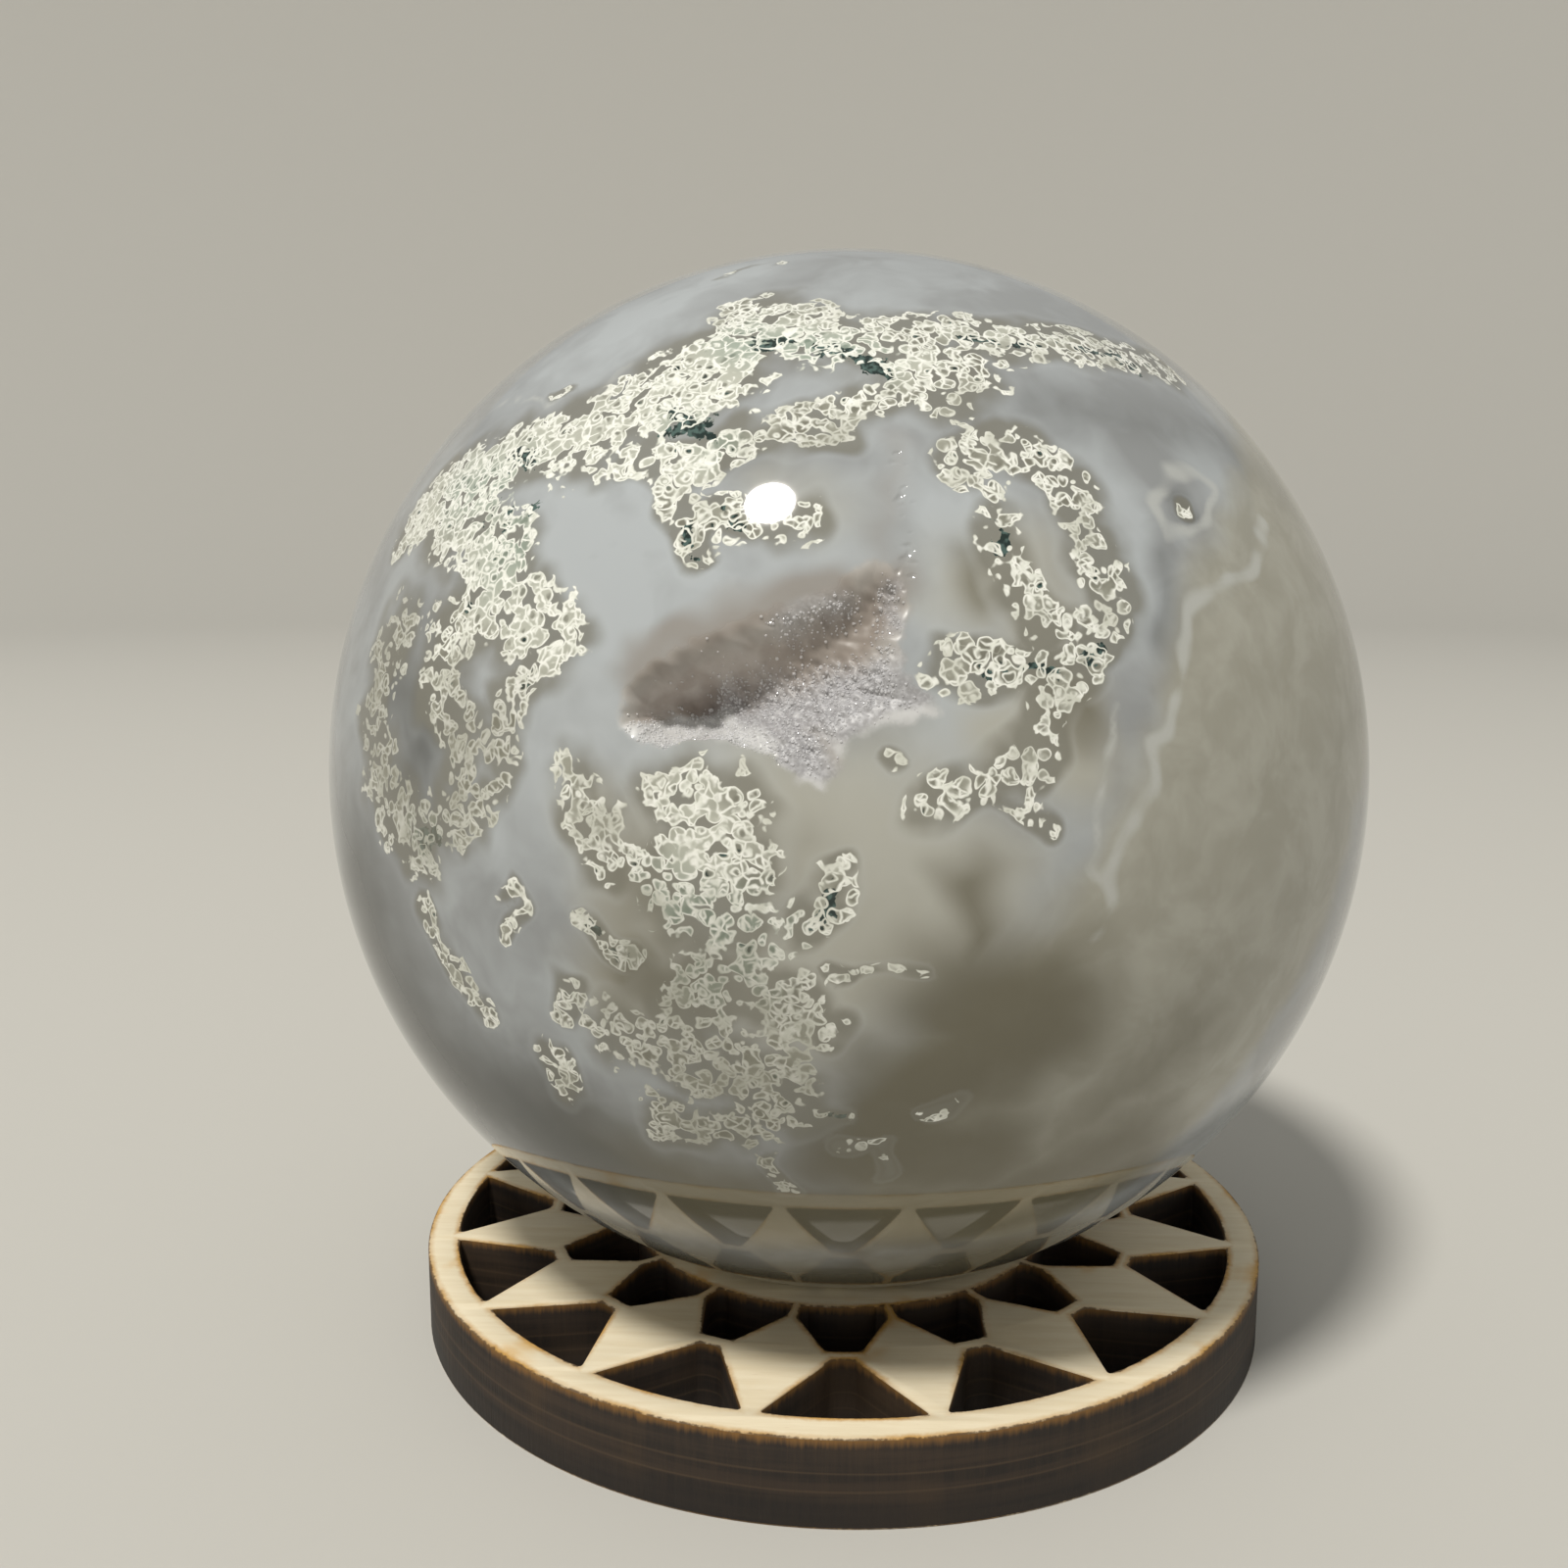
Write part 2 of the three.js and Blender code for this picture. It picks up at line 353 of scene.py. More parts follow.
# Painted shadow round the moss clumps
MOSS_HALO_PAINTED_SHADOW = (0.190, 0.184, 0.152)
MOSS_MIDDLE = ((0.195, 0.190, 0.155), (0.335, 0.335, 0.285))
MOSS_SKIRT = (0.420, 0.422, 0.370)
MOSS_DENSE = (0.590, 0.605, 0.535)
MOSS_PIT = (0.190, 0.188, 0.155)
MOSS_GREEN = (0.19, 0.29, 0.24)
MOSS_VEIL = (0.205, 0.200, 0.158)
LACE_CREAM = ((0.780, 0.795, 0.730), (0.930, 0.935, 0.890))
LACE_SUNKEN = (0.520, 0.525, 0.455)
CORE_TEAL = ((0.014, 0.028, 0.025), (0.075, 0.125, 0.115))
LINING_BROWN = ((0.335, 0.292, 0.262), (0.430, 0.392, 0.365))
LINING_RIM = (0.440, 0.425, 0.405)
# Painted shade in the cavity's deepest pocket
LINING_POCKET_PAINTED_SHADE = (0.150, 0.116, 0.094)
LINING_MAUVE = (0.225, 0.188, 0.162)
LINING_SUGAR = ((0.300, 0.298, 0.318), (0.470, 0.472, 0.500))
LINING_LIP = (0.600, 0.600, 0.605)
CRYSTAL_CLEAR = (0.74, 0.74, 0.77)
BOARD_GRAIN = ((0.850, 0.755, 0.570), (0.775, 0.665, 0.470))
BOARD_FLECK = (0.55, 0.40, 0.22)
SCORCH_AMBER = (0.560, 0.320, 0.090)
SCORCH_SPOT = (0.680, 0.400, 0.110)
SCORCH_LINE = (0.085, 0.042, 0.014)
CHAR_PLIES = ((0.012, 0.0075, 0.005), (0.030, 0.018, 0.011))
CHAR_STREAK = (0.040, 0.024, 0.013)
CHAR_PATCH = (0.060, 0.034, 0.014)
CHAR_LOW_PLY = (0.009, 0.006, 0.005)
CHAR_GLUE = (0.075, 0.046, 0.024)
CHAR_SINGED = (0.230, 0.110, 0.022)

# How glossy they are: the druzy value adds to the polish in the cavity
QUARTZ_IOR = 1.54
POLISH_ROUGHNESS = 0.045
DRUZY_ROUGHNESS = 0.40
CRYSTAL_ROUGHNESS = 0.10
BOARD_ROUGHNESS = 0.62
CHAR_ROUGHNESS = 0.7


def pixel_direction(pixel):
    """Direction in the row frame from the camera through a pixel of the photograph."""
    half = PHOTO_PIXELS / 2
    local = Vector((pixel[0] - half, half - pixel[1], -FOCAL_PIXELS))
    return (CAMERA_TURN @ local).normalized()


def pixel_on_ball(pixel):
    """Unit vector from the ball's centre to the point of its surface that a pixel shows."""
    way = pixel_direction(pixel)
    start = CAMERA_PLACE - BALL_CENTRE
    along = start.dot(way)
    reach = along * along - start.length_squared + BALL_RADIUS ** 2
    return ((start - way * (along + math.sqrt(max(reach, 0.0)))) / BALL_RADIUS).normalized()


def arc_points(points, step=0.04):
    """Points along the great arcs between unit vectors, about a step apart."""
    line = []
    for a, b in zip(points, points[1:]):
        count = max(1, math.ceil((b - a).length / step))
        line += [a.lerp(b, i / count).normalized() for i in range(count)]
    return np.array(line + [points[-1]])


def distance_to_line(places, line):
    """Distance in millimetres from unit vectors to a line on the ball."""
    return gap_to_chain(places, line)[0] * BALL_RADIUS / MM


def swayed(places):
    """Places on the unit ball, strayed a little so that strokes lose their straight edges."""
    size = BALL_RADIUS / MM
    sway = [soft_noise(places * size, STROKE_SWAY_SIZE, seed) for seed in STROKE_SWAY_SEEDS]
    return places + STROKE_SWAY / size * np.stack(sway, 1)


def stroke_field(places, strokes):
    """Soft union of strokes: 1 on their lines, about a half at their half width and 0 at twice that."""
    field = np.zeros(len(places))
    for points, half_width, density in strokes:
        line = arc_points([pixel_on_ball(p) for p in points])
        gap = distance_to_line(places, line)
        fall = np.clip(1 - gap / (2 * half_width), 0, 1)
        field = np.maximum(field, density * fall)
    return field


def deselect_all():
    if bpy.context.object and bpy.context.object.mode != "OBJECT":
        bpy.ops.object.mode_set(mode="OBJECT")
    bpy.ops.object.select_all(action="DESELECT")


def make_active(piece):
    deselect_all()
    piece.select_set(True)
    bpy.context.view_layer.objects.active = piece


def vertex_places(mesh):
    places = np.empty(len(mesh.vertices) * 3)
    mesh.vertices.foreach_get("co", places)
    return places.reshape(-1, 3)


def set_vertex_places(mesh, places):
    mesh.vertices.foreach_set("co", places.ravel())
    mesh.update()


def set_attribute(mesh, name, values):
    layer = mesh.attributes.get(name) or mesh.attributes.new(name, "FLOAT", "POINT")
    layer.data.foreach_set("value", np.asarray(values, np.float32))


def select_faces(mesh, chosen):
    """Selects faces in object mode, ready for edit mode."""
    mesh.vertices.foreach_set("select", np.zeros(len(mesh.vertices), bool))
    mesh.edges.foreach_set("select", np.zeros(len(mesh.edges), bool))
    mesh.polygons.foreach_set("select", np.asarray(chosen, bool))
    mesh.update()


def face_centres(mesh):
    centres = np.empty(len(mesh.polygons) * 3)
    mesh.polygons.foreach_get("center", centres)
    return centres.reshape(-1, 3)


class Finish:
    """A node material with short ways to add the nodes that the finishes here use."""

    def __init__(self, name):
        self.material = bpy.data.materials.new(name)
        self.material.use_nodes = True
        self.tree = self.material.node_tree
        self.shader = self.tree.nodes["Principled BSDF"]

    def node(self, kind, **settings):
        made = self.tree.nodes.new(kind)
        for key, value in settings.items():
            setattr(made, key, value)
        return made

    def feed(self, socket, value):
        if isinstance(value, bpy.types.NodeSocket):
            self.tree.links.new(value, socket)
        elif isinstance(value, tuple) and len(value) == 3 and socket.type == "RGBA":
            socket.default_value = (*value, 1.0)
        else:
            socket.default_value = value

    def attribute(self, name):
        return self.node("ShaderNodeAttribute", attribute_name=name).outputs["Fac"]

    def object_mm(self, stretch=(1, 1, 1)):
        """Object coordinates in millimetres, scaled along each axis."""
        place = self.node("ShaderNodeTexCoord").outputs["Object"]
        scale = self.node("ShaderNodeVectorMath", operation="MULTIPLY")
        self.feed(scale.inputs[0], place)
        scale.inputs[1].default_value = tuple(s / MM for s in stretch)
        return scale.outputs[0]

    def math(self, operation, a, b=0.0, clamp=False):
        made = self.node("ShaderNodeMath", operation=operation, use_clamp=clamp)
        self.feed(made.inputs[0], a)
        self.feed(made.inputs[1], b)
        return made.outputs[0]

    def spread(self, value, middle, reach):
        """How far the value is from a middle, times a reach."""
        return self.math("MULTIPLY", self.math("SUBTRACT", value, middle), reach)

    def noise(self, place, scale, detail=2.0, rough=0.5, colour=False):
        made = self.node("ShaderNodeTexNoise")
        self.feed(made.inputs["Vector"], place)
        made.inputs["Scale"].default_value = scale
        made.inputs["Detail"].default_value = detail
        made.inputs["Roughness"].default_value = rough
        return made.outputs["Color" if colour else "Fac"]

    def cells(self, place, scale, feature="F1"):
        """Distance from the nearest of many scattered points, or from the walls between their cells."""
        made = self.node("ShaderNodeTexVoronoi", feature=feature)
        self.feed(made.inputs["Vector"], place)
        made.inputs["Scale"].default_value = scale
        return made.outputs["Distance"]

    def warp(self, place, scale, amount):
        """Place pushed about by noise, by up to about half the amount."""
        push = self.noise(place, scale, 1.0, colour=True)
        centred = self.node("ShaderNodeVectorMath", operation="SUBTRACT")
        self.feed(centred.inputs[0], push)
        centred.inputs[1].default_value = (0.5, 0.5, 0.5)
        moved = self.node("ShaderNodeVectorMath", operation="MULTIPLY_ADD")
        self.feed(moved.inputs[0], centred.outputs[0])
        moved.inputs[1].default_value = (amount, amount, amount)
        self.feed(moved.inputs[2], place)
        return moved.outputs[0]

    def step(self, value, low, high, top=1.0):
        """Smooth rise from 0 to top between two values of the input, or fall where low is over high."""
        made = self.node("ShaderNodeMapRange", interpolation_type="SMOOTHSTEP")
        self.feed(made.inputs["Value"], value)
        start, end = (0.0, top) if low < high else (top, 0.0)
        made.inputs["From Min"].default_value = min(low, high)
        made.inputs["From Max"].default_value = max(low, high)
        made.inputs["To Min"].default_value = start
        made.inputs["To Max"].default_value = end
        return made.outputs["Result"]

    def band(self, value, centre, half_width, top=1.0):
        """A line where the value is near a centre, fading out at the half width."""
        off = self.math("ABSOLUTE", self.math("SUBTRACT", value, centre))
        return self.step(off, half_width, 0.0, top)

    def mix(self, share, a, b):
        made = self.node("ShaderNodeMix", data_type="RGBA", clamp_factor=True)
        self.feed(made.inputs["Factor"], share)
        self.feed(made.inputs[6], a)
        self.feed(made.inputs[7], b)
        return made.outputs[2]

    def bump(self, height, distance, strength=1.0):
        made = self.node("ShaderNodeBump")
        self.feed(made.inputs["Height"], height)
        made.inputs["Distance"].default_value = distance
        made.inputs["Strength"].default_value = strength
        self.feed(self.shader.inputs["Normal"], made.outputs["Normal"])

    def set(self, **values):
        for key, value in values.items():
            self.feed(self.shader.inputs[key.replace("_", " ").title().replace("Ior", "IOR")], value)


def druzy_colour(finish):
    """Quartz lining: brown-mauve in the depth, darkest brown in the deepest pocket as painted shade,
    lilac-grey sugar on the lower slope and white at the lip.
    """
    place = finish.object_mm()
    depth = finish.attribute("depth")
    mottle = finish.noise(place, 0.6, 3.0)
    speck = finish.noise(place, 4.5, 2.0)
    colour = finish.mix(finish.step(mottle, 0.35, 0.65), *LINING_BROWN)
    colour = finish.mix(finish.step(depth, 0.34, 0.04, 0.75), colour, LINING_RIM)
    # Darkest brown towards the deepest part: painted shade in the pocket under the lip
    colour = finish.mix(finish.step(depth, 0.50, 0.95), colour, LINING_POCKET_PAINTED_SHADE)
    colour = finish.mix(finish.step(finish.attribute("mauve"), 0.10, 0.85, 0.7), colour, LINING_MAUVE)
    sugar = finish.mix(finish.step(speck, 0.35, 0.7), *LINING_SUGAR)
    colour = finish.mix(finish.step(finish.attribute("sugar"), 0.05, 0.8, 0.85), colour, sugar)
    return finish.mix(finish.step(finish.attribute("lip"), 0.30, 0.75, 0.9), colour, LINING_LIP)


def polished_agate():
    """Grey chalcedony with mossy lace, smoky quartz and olive clouds, under a mirror polish, with painted
    shade and painted reflection on the lower-left limb and the bottom and painted shadow round the moss.
    """
    finish = Finish("polished_moss_agate")
    place = finish.object_mm()
    slow = finish.warp(place, 0.18, 5.0)
    warped = finish.warp(place, 0.8, 1.1)
    fine = finish.warp(place, 1.3, 0.6)
    cloud = finish.noise(slow, 0.13, 3.0, 0.55)
    wisp = finish.noise(slow, 0.30, 3.0, 0.55)

    # Stone
    milky = finish.math("ADD", finish.attribute("milky"), finish.step(cloud, 0.38, 0.64, 0.55))
    milky = finish.math("ADD", milky, finish.spread(wisp, 0.5, 0.9))
    stone = finish.mix(milky, GREY_STONE, MILKY_STONE)
    stone = finish.mix(finish.step(finish.attribute("warm"), 0.05, 0.85, 0.75), stone, WARM_STONE)
    smoky = finish.mix(finish.step(wisp, 0.34, 0.72), *SMOKY_QUARTZ)
    stone = finish.mix(finish.step(finish.attribute("quartz"), 0.30, 0.46, 0.95), stone, smoky)
    # Olive clouds; along the ball's bottom also painted shade and painted reflection
    stone = finish.mix(finish.step(finish.attribute("olive"), 0.10, 0.85, 0.90), stone, OLIVE_CLOUD_AND_PAINTED_SHADE)
    # Dark tones of the stone; on the lower-left limb painted shade and painted reflection
    stone = finish.mix(finish.step(finish.attribute("shade"), 0.05, 0.95, 0.92), stone, DARK_TONE_AND_PAINTED_SHADE)
    stone = finish.mix(finish.step(finish.attribute("mauve"), 0.06, 0.85, 0.75), stone, MAUVE_STAIN)
    stone = finish.mix(finish.step(finish.attribute("line"), 0.20, 0.85, 0.72), stone, GROWTH_LINE)

    # Moss field: broad strokes broken up into ragged clumps
    moss = finish.attribute("moss")
    ragged = finish.spread(finish.noise(place, 0.34, 3.0, 0.62), 0.5, 1.7)
    shown = finish.step(moss, 0.02, 0.22)
    field = finish.math("MULTIPLY", finish.math("ADD", moss, ragged), shown)

    # Soft dark halo round the clumps, painted shadow that stands in for the moss's depth in the stone, and a
    # paler band outside it
    drift = finish.math("ADD", finish.math("MULTIPLY", finish.noise(place, 0.30, 2.0), 2.4), -0.2)
    near = finish.math("MULTIPLY", moss, drift)
    pale = finish.math("MULTIPLY", finish.step(near, 0.02, 0.18), finish.step(near, 0.44, 0.18, 0.10))
    stone = finish.mix(pale, stone, PALE_BAND)
    halo = finish.step(near, 0.14, 0.56, 0.80)
    stone = finish.mix(halo, stone, MOSS_HALO_PAINTED_SHADOW)

    # Bubbles inside the clumps: closer together towards a clump's middle, each with a pale skin
    dense = finish.attribute("dense")
    inner = finish.math("MULTIPLY", finish.math("SUBTRACT", field, 0.45, clamp=True), 0.22)
    inner = finish.math("ADD", inner, finish.math("MULTIPLY", dense, 0.10))
    bubble = finish.spread(0.43, finish.cells(warped, 1.05), 0.75)
    strand = finish.spread(finish.noise(warped, 0.85, 1.0), 0.57, 1.5)
    raised = finish.math("ADD", finish.math("MAXIMUM", bubble, strand), inner)
    lump = finish.math("MINIMUM", finish.math("SUBTRACT", field, 0.40), raised)
    covered = finish.step(lump, -0.02, 0.02)
    outline = finish.band(lump, 0.04, 0.075)
    ripple = finish.cells(fine, 1.15)
    walls = finish.cells(fine, 1.15, "DISTANCE_TO_EDGE")
    patchy = finish.noise(place, 0.6, 1.0)
    ringed = finish.step(patchy, 0.44, 0.54)
    broken = finish.step(finish.noise(place, 1.1, 1.0), 0.30, 0.44)
    rings = finish.math("MULTIPLY", finish.band(ripple, 0.34, 0.13), ringed)
    net = finish.math("MULTIPLY", finish.step(walls, 0.13, 0.02), broken)
    loops = finish.math("MULTIPLY", finish.math("MAXIMUM", rings, net), covered)
    lace = finish.math("MAXIMUM", outline, loops)
    grain = finish.noise(place, 2.6, 1.0)
    blotch = finish.noise(place, 0.42, 2.0)
    thick = finish.step(blotch, 0.36, 0.64)
    thick = finish.math("ADD", thick, finish.math("MULTIPLY", dense, 0.5))
    middle = finish.mix(thick, *MOSS_MIDDLE)
    fill = finish.mix(finish.step(lump, 0.07, 0.17), MOSS_SKIRT, middle)
    fill = finish.mix(finish.step(dense, 0.15, 0.75, 0.62), fill, MOSS_DENSE)
    pits = finish.math("MULTIPLY", finish.step(ripple, 0.30, 0.14), finish.step(lump, 0.03, 0.10))
    pits = finish.math("MULTIPLY", pits, finish.step(patchy, 0.34, 0.50))
    fill = finish.mix(finish.math("MULTIPLY", pits, 0.85), fill, MOSS_PIT)
    fill = finish.mix(finish.step(finish.attribute("green"), 0.2, 0.8, 0.5), fill, MOSS_GREEN)
    cream = finish.mix(finish.step(grain, 0.3, 0.7), *LACE_CREAM)
    sunken = finish.step(blotch, 0.46, 0.66, 0.6)
    sunken = finish.math("MULTIPLY", sunken, finish.step(dense, 0.6, 0.1))
    cream = finish.mix(sunken, cream, LACE_SUNKEN)
    mossy = finish.mix(lace, fill, cream)

    # Dark green cores in the pits
    torn = finish.spread(finish.noise(warped, 1.1, 3.0, 0.6), 0.5, 1.8)
    core = finish.step(finish.math("ADD", finish.attribute("core"), torn), 0.50, 0.58)
    core = finish.math("MULTIPLY", core, finish.step(finish.attribute("core"), 0.05, 0.25))
    deep = finish.math("MULTIPLY", core, finish.step(lace, 0.6, 0.2))
    stray = finish.math("MULTIPLY", finish.step(pits, 0.6, 0.9), finish.step(patchy, 0.58, 0.64))
    teal = finish.mix(finish.step(grain, 0.45, 0.65), *CORE_TEAL)
    mossy = finish.mix(finish.math("MAXIMUM", deep, stray), mossy, teal)
    mossy = finish.mix(finish.step(finish.attribute("veil"), 0.1, 0.9, 0.55), mossy, MOSS_VEIL)
    colour = finish.mix(finish.math("MAXIMUM", covered, core), stone, mossy)

    # Cavity, with a soft change from the polish
    mottle = finish.spread(finish.noise(place, 1.2, 3.0), 0.5, 0.7)
    hollow = finish.step(finish.math("ADD", finish.attribute("hollow"), mottle), 0.30, 0.85)
    colour = finish.mix(hollow, colour, druzy_colour(finish))
    roughness = finish.math("ADD", POLISH_ROUGHNESS, finish.math("MULTIPLY", hollow, DRUZY_ROUGHNESS))
    finish.set(base_color=colour, roughness=roughness, ior=QUARTZ_IOR)
    return finish.material


def quartz_points():
    """The crystals that stand on the lining."""
    finish = Finish("quartz_points")
    clear = finish.mix(0.45, druzy_colour(finish), CRYSTAL_CLEAR)
    finish.set(base_color=clear, roughness=CRYSTAL_ROUGHNESS, ior=QUARTZ_IOR)
    return finish.material


def cut_gap(finish):
    """Distance in millimetres from the nearest cut edge, anywhere on the board's two faces."""
    spot = finish.node("ShaderNodeSeparateXYZ")
    finish.feed(spot.inputs[0], finish.object_mm())
    x, y = spot.outputs["X"], spot.outputs["Y"]
    squares = [finish.math("MULTIPLY", part, part) for part in (x, y)]
    radius = finish.math("SQRT", finish.math("ADD", *squares))
    angle = finish.math("SUBTRACT", finish.math("ARCTAN2", y, x), PATTERN_START)
    folded = finish.math("PINGPONG", angle, PATTERN_PITCH / 2)
    along = finish.math("MULTIPLY", radius, finish.math("COSINE", folded))
    aside = finish.math("MULTIPLY", radius, finish.math("SINE", folded))
    gap = finish.math("MINIMUM", finish.math("SUBTRACT", STAND_RADIUS / MM, radius),
                      finish.math("SUBTRACT", radius, SEAT_RADIUS / MM))
    for stations in (OUTER_HOLE, INNER_HOLE):
        outward = 1.0 if stations[0][0] > stations[-1][0] else -1.0
        base, tip = stations[0][0] / MM, stations[-1][0] / MM
        hole = finish.math("MAXIMUM", finish.spread(radius, base, outward),
                           finish.spread(tip, along, outward))
        for (r0, w0), (r1, w1) in zip(stations, stations[1:]):
            way = Vector(((r1 - r0) / MM, (w1 - w0) / 2 / MM)).normalized() * -outward
            side = finish.math("SUBTRACT", finish.spread(aside, w0 / 2 / MM, way.x),
                               finish.spread(along, r0 / MM, way.y))
            hole = finish.math("MAXIMUM", hole, side)
        gap = finish.math("MINIMUM", gap, hole)
    return gap


def board_face():
    """Pale sanded wood with faint grain, with a thin amber to brown scorch along the cut edges."""
    finish = Finish("pale_plywood_face")
    flat = finish.object_mm()
    grain = finish.noise(finish.object_mm((0.10, 1.0, 1.0)), 1.3, 4.0, 0.6)
    fleck = finish.noise(finish.object_mm((0.35, 1.6, 1.0)), 2.0, 2.0)
    wood = finish.mix(finish.step(grain, 0.30, 0.75), *BOARD_GRAIN)
    wood = finish.mix(finish.step(fleck, 0.64, 0.82, 0.25), wood, BOARD_FLECK)
    gap = cut_gap(finish)
    ragged = finish.spread(finish.noise(flat, 1.6, 3.0, 0.7), 0.5, 0.45)
    patch = finish.noise(flat, 0.16, 2.0)
    reach = finish.math("SUBTRACT", gap, ragged)
    singe = finish.step(patch, 0.34, 0.66)
    amber = finish.math("MULTIPLY", finish.step(reach, 0.60, 0.05, 0.9), finish.math("ADD", singe, 0.25))
    wood = finish.mix(amber, wood, SCORCH_AMBER)
    spot = finish.math("MULTIPLY", finish.step(patch, 0.60, 0.72), finish.step(reach, 2.0, 0.2, 0.7))
    wood = finish.mix(spot, wood, SCORCH_SPOT)
    wood = finish.mix(finish.step(reach, 0.15, 0.0, 0.9), wood, SCORCH_LINE)
    finish.set(base_color=wood, roughness=BOARD_ROUGHNESS)
    finish.bump(grain, GRAIN_RELIEF, 0.4)
    return finish.material


def burnt_edge():
    """Charred cut wall: dark plies, paler glue lines, laser streaks and an amber line under the face."""
    finish = Finish("charred_cut_edge")
    streak = finish.noise(finish.object_mm((1, 1, 0.08)), 2.4, 3.0, 0.65)
    layer = finish.noise(finish.object_mm((0.08, 0.08, 1.5)), 1.0, 3.0)
    patch = finish.noise(finish.object_mm((1, 1, 0.5)), 0.14, 2.0)
    height = finish.node("ShaderNodeSeparateXYZ")
    finish.feed(height.inputs[0], finish.object_mm())
    wobble = finish.spread(layer, 0.5, 0.35)
    level = finish.math("ADD", height.outputs["Z"], wobble)
    char = finish.mix(finish.step(layer, 0.35, 0.65), *CHAR_PLIES)
    char = finish.mix(finish.step(streak, 0.35, 0.70, 0.35), char, CHAR_STREAK)
    char = finish.mix(finish.step(patch, 0.48, 0.72, 0.45), char, CHAR_PATCH)
    low = GLUE_LINES[0]
    char = finish.mix(finish.step(level, low, low - 1.5, 0.6), char, CHAR_LOW_PLY)
    for line in GLUE_LINES:
        char = finish.mix(finish.band(level, line, 0.14, 0.5), char, CHAR_GLUE)
    top = STAND_THICKNESS / MM
    singed = finish.math("ADD", height.outputs["Z"], finish.spread(streak, 0.5, 0.9))
    char = finish.mix(finish.step(singed, top - 0.75, top + 0.05, 0.8), char, CHAR_SINGED)
    finish.set(base_color=char, roughness=CHAR_ROUGHNESS)
    finish.bump(streak, STREAK_RELIEF, 0.6)
    return finish.material


def refine_faces(piece, chosen):
    """Subdivides the chosen faces once and pushes the new vertices out to the ball."""
    make_active(piece)
    select_faces(piece.data, chosen)
    bpy.ops.object.mode_set(mode="EDIT")
    bpy.ops.mesh.select_mode(type="FACE")
    bpy.ops.mesh.subdivide(number_cuts=1, smoothness=0.0)
    bpy.ops.mesh.select_all(action="SELECT")
    bpy.ops.mesh.quads_convert_to_tris()
    bpy.ops.object.mode_set(mode="OBJECT")
    places = vertex_places(piece.data)
    places /= np.linalg.norm(places, axis=1)[:, None]
    set_vertex_places(piece.data, places * BALL_RADIUS)


def mouth_frame():
    """Middle of the cavity's mouth and two directions across it, to flatten places near it."""
    points = [pixel_on_ball(p) for p in CAVITY_MOUTH]
    middle = sum(points, Vector()).normalized()
    across = Vector((0, 0, 1)).cross(middle).normalized()
    return np.array(middle), np.array(across), np.cross(np.array(middle), np.array(across))


def flatten(places, view):
    """Places on the unit ball as millimetres on the plane that touches it at the cavity."""
    middle, across, upward = view
    ahead = np.maximum(places @ middle, 0.2)
    return np.stack([places @ across, places @ upward], 1) / ahead[:, None] * BALL_RADIUS / MM


def inside_outline(points, outline):
    inside = np.zeros(len(points), bool)
    for a, b in zip(outline, np.roll(outline, -1, 0)):
        spans = (a[1] > points[:, 1]) != (b[1] > points[:, 1])
        rise = np.where(spans, b[1] - a[1], 1.0)
        crossing = a[0] + (points[:, 1] - a[1]) / rise * (b[0] - a[0])
        inside ^= spans & (points[:, 0] < crossing)
    return inside


def gap_to_chain(points, chain):
    """Distance to a chain of points, and how far along it the nearest point is."""
    best = np.full(len(points), np.inf)
    where = np.zeros(len(points))
    for i, (a, b) in enumerate(zip(chain, chain[1:])):
        side = b - a
        t = np.clip((points - a) @ side / (side @ side), 0, 1)
        gap = np.linalg.norm(points - a - t[:, None] * side, axis=1)
        nearer = gap < best
        best[nearer] = gap[nearer]
        where[nearer] = i + t[nearer]
    return best, where


def soft_noise(places, size, seed):
    """Smooth noise from a few crossed waves, about one high over the size, in -1 to 1."""
    draw = np.random.default_rng(seed)
    total = np.zeros(len(places))
    for _ in range(NOISE_WAVES):
        way = draw.normal(size=3)
        way *= 2 * math.pi / size / np.linalg.norm(way) * draw.uniform(0.6, 1.6)
        total += np.sin(places @ way + draw.uniform(0, 2 * math.pi))
    return total / math.sqrt(NOISE_WAVES)


